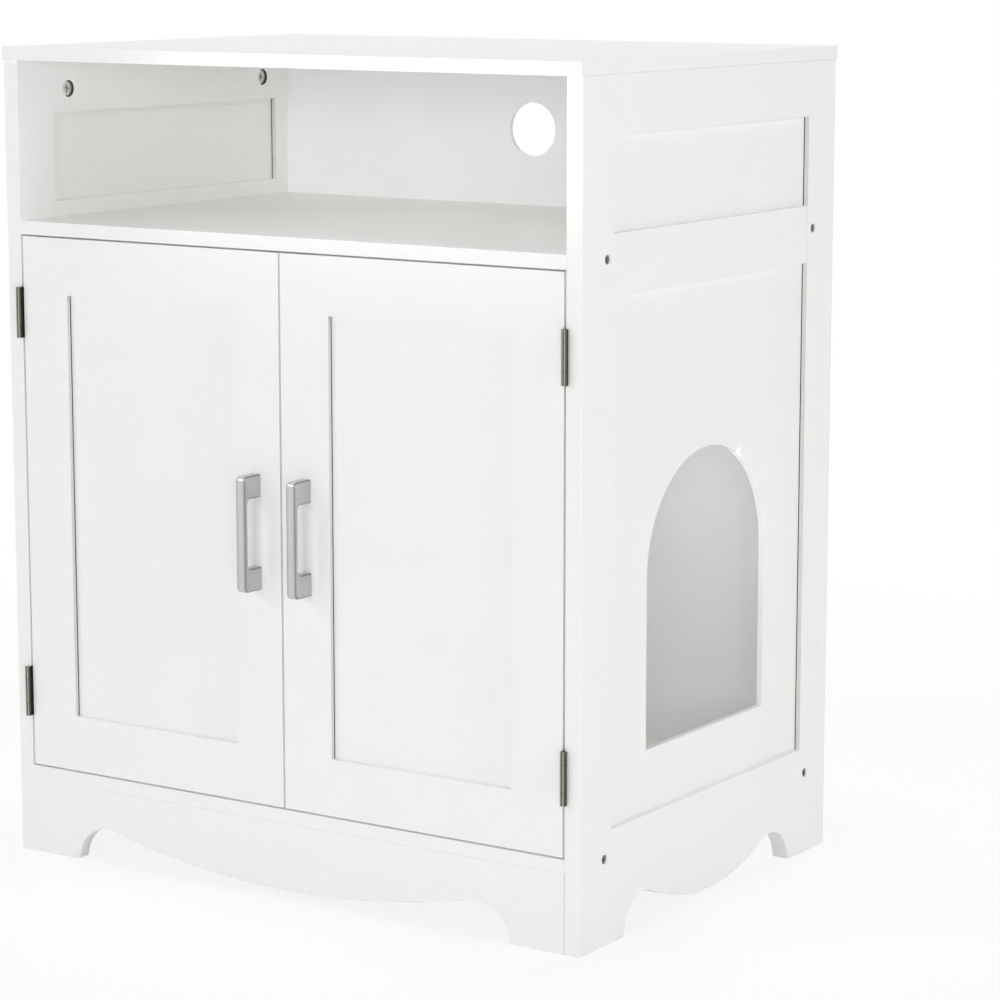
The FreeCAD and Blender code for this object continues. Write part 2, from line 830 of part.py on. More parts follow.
def back_screws():
    """Screws from behind into the shelf and the floor board, inwards of the panel screws' points."""
    group = []
    panel_screw_point = half_width - panel_screw_recess - panel_screw_length
    outer_x = panel_screw_point - back_screw_from_panel_screw
    for board, z in board_middles.items():
        for x in (-outer_x, 0, outer_x):
            fixed_with(
                ["back_panel", board],
                group,
                small_head_radius,
                small_shank_radius,
                back_screw_length,
                Vector(x, back_rear_face, z),
                FORWARD,
            )
    pieces["back_panel_screws"] = Part.makeCompound(group)


def both_sides(group):
    """A group of left-hand pieces together with their right-hand twins."""
    return Part.makeCompound(group + [mirrored(piece) for piece in group])


def build():
    pieces["top_board"] = top_board().cut(back_groove())
    pieces["middle_shelf"] = inner_board(shelf_underside, shelf_top)
    pieces["floor_board"] = inner_board(base_height, floor_top)
    pieces["front_apron"] = front_apron()
    pieces["back_panel"] = back_panel()
    left_side()
    left_door_frame()
    pieces["left_door_handle"] = left_handle()

    dowels, locks, bolts, panel_screws = [], [], [], []
    side_joint_dowels(dowels)
    left_top_dowels(dowels)
    floor_dowels = []
    apron_dowels(dowels, floor_dowels)
    left_cam_fittings(locks, bolts)
    left_panel_screws(panel_screws)
    back_screws()
    left_door_dowels()
    left_handle_screws()
    left_strike_plate()
    magnetic_catch()
    cabinet_screws, door_screws, pins = [], [], []
    left_hinges(cabinet_screws, door_screws, pins)
    pieces["left_door_hinge_screws"] = Part.makeCompound(door_screws)

    left_names = [name for name in pieces if name.startswith("left_")]
    for name in left_names:
        pieces[name.replace("left_", "right_", 1)] = mirrored(pieces[name])
    drill(["right_side_lower_panel"], entry_cutter())

    pieces["carcass_dowels"] = Part.makeCompound([both_sides(dowels)] + floor_dowels)
    pieces["cam_locks"] = both_sides(locks)
    pieces["cam_bolts"] = both_sides(bolts)
    pieces["panel_screws"] = both_sides(panel_screws)
    pieces["cabinet_hinge_screws"] = both_sides(cabinet_screws)
    pieces["hinge_pins"] = both_sides(pins)


build()
os.makedirs("parts", exist_ok=True)
for name, shape in pieces.items():
    shape.exportStep(os.path.join("parts", name + ".step"))
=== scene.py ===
"""Looks of a white lacquered litter box cabinet: two doors, an arched side entry, an open compartment."""
import bmesh
import bpy
import json
import math
from mathutils import Matrix, Vector


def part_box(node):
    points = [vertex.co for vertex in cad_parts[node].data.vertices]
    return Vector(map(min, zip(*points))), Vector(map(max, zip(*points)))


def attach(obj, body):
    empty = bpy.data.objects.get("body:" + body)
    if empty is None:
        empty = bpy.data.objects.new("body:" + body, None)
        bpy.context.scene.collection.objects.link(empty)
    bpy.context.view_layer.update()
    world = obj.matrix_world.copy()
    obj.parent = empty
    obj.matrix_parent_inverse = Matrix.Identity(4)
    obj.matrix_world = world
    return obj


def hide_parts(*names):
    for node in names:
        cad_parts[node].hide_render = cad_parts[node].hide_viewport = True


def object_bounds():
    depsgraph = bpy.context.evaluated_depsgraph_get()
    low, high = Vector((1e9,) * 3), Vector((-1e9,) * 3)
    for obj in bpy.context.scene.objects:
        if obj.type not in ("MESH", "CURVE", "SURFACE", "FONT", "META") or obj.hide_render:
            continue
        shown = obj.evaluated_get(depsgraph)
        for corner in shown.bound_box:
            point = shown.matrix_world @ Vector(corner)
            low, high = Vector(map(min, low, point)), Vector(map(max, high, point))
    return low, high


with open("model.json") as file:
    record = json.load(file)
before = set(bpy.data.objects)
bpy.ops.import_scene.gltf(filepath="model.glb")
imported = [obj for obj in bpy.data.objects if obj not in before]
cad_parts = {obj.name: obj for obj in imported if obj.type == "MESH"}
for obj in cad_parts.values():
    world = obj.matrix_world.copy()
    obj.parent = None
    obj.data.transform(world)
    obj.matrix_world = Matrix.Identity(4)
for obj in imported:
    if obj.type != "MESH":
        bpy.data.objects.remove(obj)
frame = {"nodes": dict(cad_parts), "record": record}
cad_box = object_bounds()

MM = 0.001


# ---- Finishes ------------------------------------------------------------------------------


def shade(code):
    """An sRGB hex colour as linear RGBA."""
    channels = [int(code[i:i + 2], 16) / 255 for i in (1, 3, 5)]
    linear = [c / 12.92 if c <= 0.04045 else ((c + 0.055) / 1.055) ** 2.4 for c in channels]
    return (*linear, 1.0)


def add(tree, kind, settings, links=()):
    """Adds a node; settings name its properties or inputs, and links name inputs and their sources."""
    node = tree.nodes.new(kind)
    for name, value in settings.items():
        if isinstance(name, str) and hasattr(node, name):
            setattr(node, name, value)
        else:
            node.inputs[name].default_value = value
    for name, source in dict(links).items():
        tree.links.new(source, node.inputs[name])
    return node


def finish_named(name, color, roughness, metallic=0.0):
    """A new material with its uniform colour, roughness and metalness set on the shader itself."""
    material = bpy.data.materials.new(name)
    material.use_nodes = True
    material.diffuse_color = shade(color)
    shader = material.node_tree.nodes["Principled BSDF"]
    shader.inputs["Base Color"].default_value = shade(color)
    shader.inputs["Roughness"].default_value = roughness
    shader.inputs["Metallic"].default_value = metallic
    return material, material.node_tree, shader


def mottled(tree, shader, low, high, patch, where):
    """Colour that drifts between two shades over patches of a real size."""
    clouds = add(tree, "ShaderNodeTexNoise", {"Scale": 1 / patch, "Detail": 3.0}, {"Vector": where})
    ramp = add(tree, "ShaderNodeValToRGB", {}, {"Fac": clouds.outputs["Fac"]})
    ramp.color_ramp.elements[0].color = shade(low)
    ramp.color_ramp.elements[1].color = shade(high)
    tree.links.new(ramp.outputs["Color"], shader.inputs["Base Color"])


def uneven_gloss(tree, shader, low, high, patch, where):
    """Roughness that drifts between two values over patches of a real size."""
    clouds = add(tree, "ShaderNodeTexNoise", {"Scale": 1 / patch, "Detail": 4.0}, {"Vector": where})
    spread = add(
        tree, "ShaderNodeMapRange", {"To Min": low, "To Max": high}, {"Value": clouds.outputs["Fac"]}
    )
    tree.links.new(spread.outputs["Result"], shader.inputs["Roughness"])


def grained(tree, shader, grain, depth, where):
    """Fine relief with bumps of a real width and depth."""
    bumps = add(tree, "ShaderNodeTexNoise", {"Scale": 1 / grain, "Detail": 2.0}, {"Vector": where})
    relief = add(
        tree, "ShaderNodeBump", {"Strength": 1.0, "Distance": depth}, {"Height": bumps.outputs["Fac"]}
    )
    tree.links.new(relief.outputs["Normal"], shader.inputs["Normal"])


def shaded_by_facing(tree, shader, stops):
    """Multiplies the colour by a shade for the way the surface faces, from 0 at left to 1 at right."""
    colour = shader.inputs["Base Color"].links[0].from_socket
    place = add(tree, "ShaderNodeTexCoord", {})
    facing = add(tree, "ShaderNodeSeparateXYZ", {}, {"Vector": place.outputs["Normal"]})
    turned_to = add(
        tree, "ShaderNodeMapRange", {"From Min": -1.0, "From Max": 1.0}, {"Value": facing.outputs["X"]}
    )
    shades = add(tree, "ShaderNodeValToRGB", {}, {"Fac": turned_to.outputs["Result"]})
    elements = shades.color_ramp.elements
    elements[0].color = shade(stops[0][1])
    elements[1].color = shade(stops[-1][1])
    for position, code in stops[1:-1]:
        elements.new(position).color = shade(code)
    both = add(
        tree,
        "ShaderNodeMix",
        {"data_type": "RGBA", "blend_type": "MULTIPLY"},
        {6: colour, 7: shades.outputs["Color"]},
    )
    both.inputs[0].default_value = 1.0
    tree.links.new(both.outputs[2], shader.inputs["Base Color"])


def own_place(tree, stretch=(1.0, 1.0, 1.0)):
    """The point on the piece in metres, stretched along an axis for a grain with a direction."""
    place = add(tree, "ShaderNodeTexCoord", {})
    mapping = add(tree, "ShaderNodeMapping", {"Scale": stretch}, {"Vector": place.outputs["Object"]})
    return mapping.outputs["Vector"]


def satin_lacquer():
    """Sprayed white lacquer on fibreboard: a soft sheen, with the faint dimple that a spray gun leaves."""
    material, tree, shader = finish_named("satin_white_lacquer", "#F7F7F6", 0.38)
    where = own_place(tree)
    mottled(tree, shader, "#F5F5F4", "#F8F8F7", 90 * MM, where)
    uneven_gloss(tree, shader, 0.34, 0.44, 30 * MM, where)
    grained(tree, shader, 1.6 * MM, 0.006 * MM, where)
    return material


def foil_sheet():
    """Fibreboard covered in white foil: a little flatter and cooler than the sprayed boards."""
    material, tree, shader = finish_named("white_foil_sheet", "#F5F5F5", 0.5)
    where = own_place(tree)
    mottled(tree, shader, "#F3F3F3", "#F7F7F7", 60 * MM, where)
    uneven_gloss(tree, shader, 0.46, 0.56, 25 * MM, where)
    grained(tree, shader, 0.9 * MM, 0.004 * MM, where)
    return material


def satin_nickel():
    """Nickel plate over die-cast zinc, brushed along the bar; the rounded rims carry a painted shade,
    set by the way they face, that leaves them darker than the flat faces.
    """
    material, tree, shader = finish_named("satin_nickel_plate", "#CDCDCC", 0.34, 1.0)
    where = own_place(tree, (1.0, 1.0, 0.03))
    mottled(tree, shader, "#C2C2C1", "#D8D8D7", 1.0 * MM, where)
    uneven_gloss(tree, shader, 0.3, 0.42, 0.8 * MM, where)
    # Painted shade by facing: darker rims beside a lighter flat face, standing in for reflections
    shaded_by_facing(tree, shader, [
        (0.0, "#F4F4F4"),
        (0.04, "#C8C8C8"),
        (0.2, "#B0B0B0"),
        (0.37, "#CCCCCC"),
        (0.5, "#FFFFFF"),
        (0.63, "#CCCCCC"),
        (0.8, "#A8A8A8"),
        (0.96, "#C8C8C8"),
        (1.0, "#F4F4F4"),
    ])
    return material


def drawn_nickel():
    """Nickel-plated steel strip, rolled into a barrel: warm grey, with a painted highlight line and a
    painted dark reflection line along it, set by the way the barrel faces.
    """
    material, tree, shader = finish_named("drawn_nickel_strip", "#B8B3A8", 0.28, 1.0)
    where = own_place(tree, (1.0, 1.0, 0.01))
    mottled(tree, shader, "#A6A298", "#C9C4B8", 0.7 * MM, where)
    uneven_gloss(tree, shader, 0.22, 0.36, 0.5 * MM, where)
    # Painted shade by facing: a dark line and a bright line along the barrel, standing in for reflections
    shaded_by_facing(tree, shader, [
        (0.0, "#404040"),
        (0.1, "#C8C8C8"),
        (0.44, "#D8D8D8"),
        (0.54, "#5A5A5A"),
        (0.62, "#626262"),
        (0.68, "#FFFFFF"),
        (0.76, "#F0F0F0"),
        (0.82, "#A0A0A0"),
        (0.97, "#707070"),
        (1.0, "#404040"),
    ])
    return material


def black_zinc():
    """Black zinc plate on a steel screw: a mid grey, darker than the boards, with a dull metal sheen."""
    material, tree, shader = finish_named("black_zinc_plate", "#77797D", 0.4, 1.0)
    where = own_place(tree)
    mottled(tree, shader, "#66686C", "#8A8C90", 0.8 * MM, where)
    uneven_gloss(tree, shader, 0.34, 0.48, 0.5 * MM, where)
    return material


def bright_zinc():
    """Bright zinc plate on small steel parts: cool grey with faint crystalline patches."""
    material, tree, shader = finish_named("bright_zinc_plate", "#BFC1C6", 0.3, 1.0)
    where = own_place(tree)
    mottled(tree, shader, "#B4B6BC", "#CACCD0", 1.5 * MM, where)
    uneven_gloss(tree, shader, 0.24, 0.38, 1.0 * MM, where)
    return material


def cast_zinc():
    """Die-cast zinc, tumbled: a light dull grey with a slightly pitted skin."""
    material, tree, shader = finish_named("tumbled_cast_zinc", "#F0F0EE", 0.5, 1.0)
    where = own_place(tree)
    mottled(tree, shader, "#E8E8E6", "#F6F6F4", 1.0 * MM, where)
    grained(tree, shader, 0.4 * MM, 0.02 * MM, where)
    return material


def beech():
    """Turned beech dowel: pale pinkish brown, with grain running along the dowel."""
    material, tree, shader = finish_named("turned_beech", "#C9A67C", 0.6)
    where = own_place(tree, (1.0, 0.08, 1.0))
    mottled(tree, shader, "#B98F63", "#D6B78F", 0.9 * MM, where)
    grained(tree, shader, 0.5 * MM, 0.03 * MM, where)
    return material


def moulded_white_plastic():
    """White ABS moulded in a spark-eroded tool: matt, with a fine pebble."""
    material, tree, shader = finish_named("moulded_white_abs", "#EFEFEC", 0.48)
    where = own_place(tree)
    mottled(tree, shader, "#EDEDEA", "#F1F1EE", 8 * MM, where)
    grained(tree, shader, 0.35 * MM, 0.02 * MM, where)
    return material


def ferrite():
    """Pressed and sintered ferrite: charcoal, matt, with a grainy break."""
    material, tree, shader = finish_named("sintered_ferrite", "#3B3B3D", 0.65)
    where = own_place(tree)
    mottled(tree, shader, "#323234", "#464648", 0.7 * MM, where)
    grained(tree, shader, 0.3 * MM, 0.03 * MM, where)
    return material


def fibreboard():
    """Raw fibreboard where a cutter went through it, with fine fibres: matt grey brown, darkened as
    painted shade.
    """
    material, tree, shader = finish_named("raw_fibreboard_and_painted_shade", "#5A5046", 0.85)
    where = own_place(tree)
    mottled(tree, shader, "#50473D", "#655A4F", 1.5 * MM, where)
    grained(tree, shader, 0.4 * MM, 0.05 * MM, where)
    return material


def recess_wall_shade():
    """Painted shade on the routed walls beside the panels: greyer and duller than the faces."""
    material, tree, shader = finish_named("painted_shade_on_recess_wall", "#D8D8D6", 0.6)
    where = own_place(tree)
    mottled(tree, shader, "#D2D2D0", "#DEDEDC", 12 * MM, where)
    grained(tree, shader, 0.6 * MM, 0.02 * MM, where)
    return material


# Raw board, darkened as painted shade, for the groove slots and the cam bores
raw_board_and_shade = fibreboard()
# Painted shade for the walls beside the panels
painted_recess_shade = recess_wall_shade()
FINISHES = {
    "white_lacquer": satin_lacquer(),
    "back_sheet": foil_sheet(),
    "beech": beech(),
    "handle_metal": satin_nickel(),
    "hinge_metal": drawn_nickel(),
    "dark_screws": black_zinc(),
    "zinc_screws": bright_zinc(),
    "cam_metal": cast_zinc(),
    "catch_plastic": moulded_white_plastic(),
    "magnet": ferrite(),
}
FINISHES["inset_board"] = FINISHES["white_lacquer"]
FINISHES["strike_steel"] = FINISHES["zinc_screws"]

for subpart in frame["record"]["subparts"]:
    mesh = frame["nodes"][subpart["node"]].data
    mesh.materials.clear()
    mesh.materials.append(FINISHES[subpart["material_slot"]])


# ---- Making pieces -------------------------------------------------------------------------

NEAR = 0.02 * MM
X, Y, Z = 0, 1, 2
weld_distance = 0.001 * MM
# The least share of a flat face's normal that lies along one axis
flat_face = 0.9995
# How far a screw's cross narrows towards its floor
screw_cross_taper = 0.45


def new_piece(name, mesh, body, slot, replaced=(), finishes=()):
    """A piece that rides on a body, with its slot's finish first and any other finishes after it."""
    piece = bpy.data.objects.new(name, mesh)
    bpy.context.scene.collection.objects.link(piece)
    for finish in (FINISHES[slot], *finishes):
        mesh.materials.append(finish)
    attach(piece, body)
    if replaced:
        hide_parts(*replaced)
    return piece


def mesh_from(bm, name, sharp_angle=40.0, is_board=False):
    """Closes a bmesh into a mesh that is shaded smooth except over sharp edges, and except on the
    flat faces of a board.
    """
    if not is_board:
        bmesh.ops.recalc_face_normals(bm, faces=bm.faces)
    for face in bm.faces:
        face.smooth = not (is_board and max(abs(part) for part in face.normal) > flat_face)
    for edge in bm.edges:
        edge.smooth = edge.is_manifold and edge.calc_face_angle(math.pi) < math.radians(sharp_angle)
    mesh = bpy.data.meshes.new(name)
    bm.to_mesh(mesh)
    bm.free()
    return mesh


def turned(profile, segments=40):
    """A solid turned about Z from (radius, height) points in millimetres."""
    bm = bmesh.new()
    turns = [math.tau * step / segments for step in range(segments)]
    rings = []
    for radius, height in profile:
        spots = turns if radius else turns[:1]
        points = [(radius * MM * math.cos(a), radius * MM * math.sin(a), height * MM) for a in spots]
        rings.append([bm.verts.new(point) for point in points])
    for ring, following in zip(rings, rings[1:]):
        for step in range(segments):
            after = (step + 1) % segments
            corners = [ring[step % len(ring)], ring[after % len(ring)]]
            corners += [following[after % len(following)], following[step % len(following)]]
            bm.faces.new(list(dict.fromkeys(corners)))
    return bm


def cross_drive(length, width, depth, taper=screw_cross_taper):
    """The tapered cross that a driver bit leaves, cut down from the origin, in millimetres."""
    bm = bmesh.new()
    above = 1.0
    for across in (False, True):
        ends = []
        for height, half_length, half_width in (
            (above, length / 2, width / 2),
            (0.0, length / 2, width / 2),
            (-depth, length / 2 * taper, width / 2 * taper),
        ):
            corners = [(-half_length, -half_width), (half_length, -half_width)]
            corners += [(half_length, half_width), (-half_length, half_width)]
            if across:
                corners = [(-y, x) for x, y in corners]
            ends.append([bm.verts.new((x * MM, y * MM, height * MM)) for x, y in corners])
        bm.faces.new(ends[0])
        bm.faces.new(ends[-1][::-1])
        for ring, following in zip(ends, ends[1:]):
            for side in range(4):
                after = (side + 1) % 4
                bm.faces.new([ring[side], following[side], following[after], ring[after]])
    return mesh_from(bm, "cross_drive")


def cut_out(mesh, tool_mesh):
    """The mesh less another, which may cross itself."""
    solid = bpy.data.objects.new("solid", mesh)
    tool = bpy.data.objects.new("tool", tool_mesh)
    for item in (solid, tool):
        bpy.context.scene.collection.objects.link(item)
    cutting = solid.modifiers.new("cutting", "BOOLEAN")
    cutting.object = tool
    cutting.solver = "EXACT"
    cutting.use_self = True
    result = solid.evaluated_get(bpy.context.evaluated_depsgraph_get())
    left_over = bpy.data.meshes.new_from_object(result)
    for item in (solid, tool):
        bpy.data.objects.remove(item)
    return left_over


def solids_of(node):
    """The lowest and highest corner of each separate solid in a node."""
    bm = bmesh.new()
    bm.from_mesh(frame["nodes"][node].data)
    bmesh.ops.remove_doubles(bm, verts=bm.verts, dist=weld_distance)
    unseen = set(bm.verts)
    boxes = []
    while unseen:
        front_line = [unseen.pop()]
        found = []
        while front_line:
            vert = front_line.pop()
            found.append(vert.co.copy())
            for edge in vert.link_edges:
                other = edge.other_vert(vert)
                if other in unseen:
                    unseen.remove(other)
                    front_line.append(other)
        low = Vector([min(point[axis] for point in found) for axis in (X, Y, Z)])
        high = Vector([max(point[axis] for point in found) for axis in (X, Y, Z)])
        boxes.append((low, high))
    bm.free()
    return sorted(boxes, key=lambda box: tuple(box[0]))


def set_in_places(name, mesh, places):
    """One mesh made of copies, each with its origin at a point and its Z turned outwards."""
    bm = bmesh.new()
    for point, outward in places:
        copy = mesh.copy()
        copy.transform(Matrix.Translation(point) @ outward.to_track_quat("Z", "Y").to_matrix().to_4x4())
        bm.from_mesh(copy)
        bpy.data.meshes.remove(copy)
    return mesh_from(bm, name)


def heads_of(node, outward_of):
    """Where each of a node's fasteners has the middle of its head, and the way the head faces."""
    places = []
    for low, high in solids_of(node):
        middle = (low + high) / 2
        outward = Vector(outward_of(middle))
        reach = Vector([(high[axis] - low[axis]) / 2 * outward[axis] for axis in (X, Y, Z)])
        places.append((middle + reach, outward))
    return places


# ---- Boards: shadow gaps beside the panels, and raw board painted dark as shade in them and in the cam bores ---

groove_half_width = 2.6 * MM
door_shadow_gap = 1.1 * MM
side_shadow_gap = 0.8 * MM
slot_depth = 5.0 * MM
tongue = 6.0 * MM
cam_bore_radius = 7.5 * MM
edge_depth = 0.7 * MM


def board_of(node):
    """The board's mesh with its faces joined, so that their outsides can be told from their insides."""
    bm = bmesh.new()
    bm.from_mesh(frame["nodes"][node].data)
    bmesh.ops.remove_doubles(bm, verts=bm.verts, dist=weld_distance)
    return bm


def dressed(bm, node, body, slot, is_raw_or_shaded, is_shaded_wall=lambda face: False):
    """Stands a reshaped board in for its node: raw fibreboard, darkened as painted shade, where a cutter
    went last, and painted shade on the walls beside the panels.
    """
    for face in bm.faces:
        face.material_index = 1 if is_raw_or_shaded(face) else 2 if is_shaded_wall(face) else 0
    mesh = mesh_from(bm, node + "_dressed", is_board=True)
    new_piece(node + "_dressed", mesh, body, slot, [node], [raw_board_and_shade, painted_recess_shade])


def slotted(board, through, across, inner, ends, panels):
    """The board less a slot beside each panel, along the panel's whole open length."""
    slots = bmesh.new()
    for panel in panels:
        low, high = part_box(panel)
        low[Z] += tongue
        high[Z] -= tongue
        low[across] = inner - slot_depth
        high[across] = inner + slot_depth
        low[through], high[through] = ends
        place = Matrix.Translation((low + high) / 2) @ Matrix.Diagonal((*(high - low), 1))
        bmesh.ops.create_cube(slots, size=1, matrix=place)
    cut = cut_out(mesh_from(board, "board", is_board=True), mesh_from(slots, "slots"))
    bm = bmesh.new()
    bm.from_mesh(cut)
    return bm


def frame_member(node, body, through, across, gap_front, gap_rear, panels):
    """A stile or rail; its groove stands open by the gaps, painted dark as shade: a dark line at the
    panels.
    """
    low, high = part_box(node)
    middle = (low[through] + high[through]) / 2
    ends = (middle - groove_half_width - gap_front, middle + groove_half_width + gap_rear)
    panel_low, panel_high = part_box(panels[0])
    inner = low[across] if (panel_low + panel_high)[across] < (low + high)[across] else high[across]
    bm = board_of(node)
    if gap_front:
        bm = slotted(bm, through, across, inner, ends, panels)

    def in_groove(face):
        return all(ends[0] - NEAR < vert.co[through] < ends[1] + NEAR for vert in face.verts)

    # Painted shade: the walls beside the panel get a greyer finish that stands in for their shade.
    def at_panel(face):
        return abs(face.calc_center_median()[across] - inner) < edge_depth

    # Painted shade: the slots and cam bores take raw board dark enough to stand in for their shade.
    dressed(bm, node, body, "white_lacquer", lambda face: in_groove(face) or in_bore(face), at_panel)


def tongued_panel(node, body, across):
    """A panel whose tongues, which the spray can't reach in the stiles' grooves, are raw board."""
    low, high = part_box(node)
    ends = (low[across] + tongue, high[across] - tongue)
    bm = board_of(node)
    for end in ends:
        point = Vector([end if axis == across else 0 for axis in (X, Y, Z)])
        normal = Vector([float(axis == across) for axis in (X, Y, Z)])
        everything = bm.verts[:] + bm.edges[:] + bm.faces[:]
        bmesh.ops.bisect_plane(bm, geom=everything, plane_co=point, plane_no=normal)

    def on_tongue(face):
        return not ends[0] < face.calc_center_median()[across] < ends[1]

    dressed(bm, node, body, "inset_board", on_tongue)


def butted_board(node):
    """A board between the sides, whose raw ends butt; the raw corners there are a painted shadow line."""
    low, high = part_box(node)

    def at_end(face):
        across = face.calc_center_median().x
        return across < low.x + edge_depth or across > high.x - edge_depth

    dressed(board_of(node), node, "cabinet", "white_lacquer", at_end)


cam_middles = [(low + high) / 2 for low, high in solids_of("cam_locks")]


def in_bore(face):
    """Whether a face is on the wall of a cam's bore."""
    for cam in cam_middles:
        reaches = [math.hypot(vert.co.y - cam.y, vert.co.z - cam.z) for vert in face.verts]
        if max(reaches) < cam_bore_radius + NEAR:
            return True
    return False


for side in ("left", "right"):
    door = side + "_door"
    frame_side = side + "_side"
    door_panel = door + "_panel"
    upper_panel = frame_side + "_upper_panel"
    lower_panel = frame_side + "_lower_panel"
    for stile in ("_hinge_stile", "_lock_stile"):
        frame_member(door + stile, door, Y, X, door_shadow_gap, 0, [door_panel])
    both = [upper_panel, lower_panel]
    for stile in ("_front_stile", "_rear_stile"):
        frame_member(frame_side + stile, "cabinet", X, Y, side_shadow_gap, side_shadow_gap, both)
    frame_member(door + "_top_rail", door, Y, Z, 0, 0, [door_panel])
    frame_member(frame_side + "_top_rail", "cabinet", X, Z, 0, 0, [upper_panel])
    frame_member(frame_side + "_mid_rail", "cabinet", X, Z, 0, 0, [lower_panel])
    tongued_panel(door_panel, door, X)
    tongued_panel(upper_panel, "cabinet", Y)
    tongued_panel(lower_panel, "cabinet", Y)
butted_board("front_apron")


# ---- Handles -------------------------------------------------------------------------------

bar_thickness = 4.2 * MM
leg_height = 20.0 * MM
bar_end_radius = 4.5 * MM
inner_corner_radius = 4.0 * MM
rim_radius = 1.7 * MM
rim_steps = 4
# Edges of the bar that turn more than the first angle are rounded; the second keeps an edge crisp.
rounded_above = 60
crisp_above = 50.0


def rounded_outline(corners, steps=7):
    """The points of a closed outline of square corners, each an (a, b, radius)."""
    points = []
    for index, (a, b, radius) in enumerate(corners):
        here = Vector((a, b))
        back = (Vector(corners[index - 1][:2]) - here).normalized() * radius
        ahead = (Vector(corners[(index + 1) % len(corners)][:2]) - here).normalized() * radius
        turns = [math.pi / 2 * step / steps for step in range(steps + 1)] if radius else [0.0]
        for turn in turns:
            points.append(here + ahead * (1 - math.cos(turn)) + back * (1 - math.sin(turn)))
    return points


def bridge_handle(side):
    """A flat bar on two legs, cast in one, its rims rounded and its corners turned on arcs."""
    node = side + "_door_handle"
    low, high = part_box(node)
    bar_back = low.y + bar_thickness
    leg_ends = (low.z + leg_height, high.z - leg_height)
    outline = rounded_outline([
        (high.y, low.z, 0),
        (low.y, low.z, bar_end_radius),
        (low.y, high.z, bar_end_radius),
        (high.y, high.z, 0),
        (high.y, leg_ends[1], 0),
        (bar_back, leg_ends[1], inner_corner_radius),
        (bar_back, leg_ends[0], inner_corner_radius),
        (high.y, leg_ends[0], 0),
    ])
    bm = bmesh.new()
    rims = [[bm.verts.new((x, y, z)) for y, z in outline] for x in (low.x, high.x)]
    bm.faces.new(rims[0])
    bm.faces.new(rims[1][::-1])
    for index in range(len(outline)):
        after = (index + 1) % len(outline)
        bm.faces.new([rims[0][index], rims[1][index], rims[1][after], rims[0][after]])
    bmesh.ops.recalc_face_normals(bm, faces=bm.faces)

    def at_foot(edge):
        return all(abs(vert.co.y - high.y) < NEAR for vert in edge.verts)

    def square(edge):
        return edge.calc_face_angle(0) > math.radians(rounded_above) and not at_foot(edge)

    bmesh.ops.bevel(
        bm,
        geom=[edge for edge in bm.edges if square(edge)],
        offset=rim_radius,
        segments=rim_steps,
        profile=0.5,
        affect="EDGES",
    )
    mesh = mesh_from(bm, node + "_cast", crisp_above)
    new_piece(node + "_cast", mesh, side + "_door", "handle_metal", [node])


for side in ("left", "right"):
    bridge_handle(side)


# ---- Cams and screws, in millimetres -------------------------------------------------------

cam_face_depth = 2.0
cam_radius = 6.9
cam_depth = 12.2
cam_rim = 0.5
cam_cross_length = 7.5
cam_cross_width = 1.7
cam_cross_depth = 4.0
cam_cross_taper = 0.85

wood_thread_pitch = 1.2
wood_thread_depth = 0.4
machine_thread_pitch = 0.7
machine_thread_depth = 0.3
# Shares of the radius: a flat head's rim of the head's, and a wood screw's tip of the shank's
flat_head_rim = 0.08
wood_screw_tip = 0.25
# A cross's length, width and depth as shares of the head's radius; on a round head the depth is a
# share of the head's height.
flat_head_cross = (1.35, 0.3, 0.45)
round_head_cross = (1.2, 0.28, 0.6)
# A round head's outline from its rim up, as shares of its radius and of its height
ROUND_DOME = [(1, 1), (1, 0.55), (0.9, 0.25), (0.7, 0.08), (0.4, 0)]


def cam_drum():
    """A cast drum that sits a little below the board, with a chamfered rim and a cross drive."""
    drum = turned([
        (0, -cam_depth),
        (cam_radius, -cam_depth),
        (cam_radius, -cam_face_depth - cam_rim),
        (cam_radius - cam_rim, -cam_face_depth),
        (0, -cam_face_depth),
    ])
    cross = cross_drive(cam_cross_length, cam_cross_width, cam_cross_depth, cam_cross_taper)
    cross.transform(Matrix.Translation((0, 0, -cam_face_depth * MM)))
    return cut_out(mesh_from(drum, "cam_drum"), cross)


def threaded(shank, start, end, pitch, depth):
    """Profile points of a thread, drawn as rings, from start to end below the head."""
    points = []
    level = start
    while level + pitch < end:
        points += [(shank - depth, -level), (shank, -level - pitch / 2)]
        level += pitch
    return points[::-1]


def flat_headed_screw(head, shank, length):
    """A countersunk wood screw with a tapered cross drive, its head's face at the origin."""
    rim = head * flat_head_rim
    cone_end = head - shank + rim
    point_start = length - 2 * shank
    screw = turned(
        [(0, -length), (shank * wood_screw_tip, -length)]
        + threaded(shank, cone_end, point_start, wood_thread_pitch, wood_thread_depth)
        + [(shank, -cone_end), (head, -rim), (head - rim / 2, 0), (0, 0)]
    )
    cross_length, cross_width, cross_depth = flat_head_cross
    cross = cross_drive(head * cross_length, head * cross_width, head * cross_depth)
    return cut_out(mesh_from(screw, "flat_headed_screw"), cross)


def round_headed_screw(head, height, shank, length):
    """A pan-headed machine screw with a cross drive; its head's top is at the origin."""
    dome = [(head * across, -height * below) for across, below in ROUND_DOME] + [(0, 0)]
    thread = threaded(shank, height, length, machine_thread_pitch, machine_thread_depth)
    core = shank - machine_thread_depth
    screw = turned([(0, -length), (core, -length)] + thread + [(shank, -height)] + dome)
    cross_length, cross_width, cross_depth = round_head_cross
    cross = cross_drive(head * cross_length, head * cross_width, height * cross_depth)
    return cut_out(mesh_from(screw, "round_headed_screw"), cross)


def inwards(middle):
    return (-math.copysign(1, middle.x), 0, 0)


def outwards(middle):
    return (math.copysign(1, middle.x), 0, 0)


def backwards(middle):
    return (0, 1, 0)


def downwards(middle):
    return (0, 0, -1)


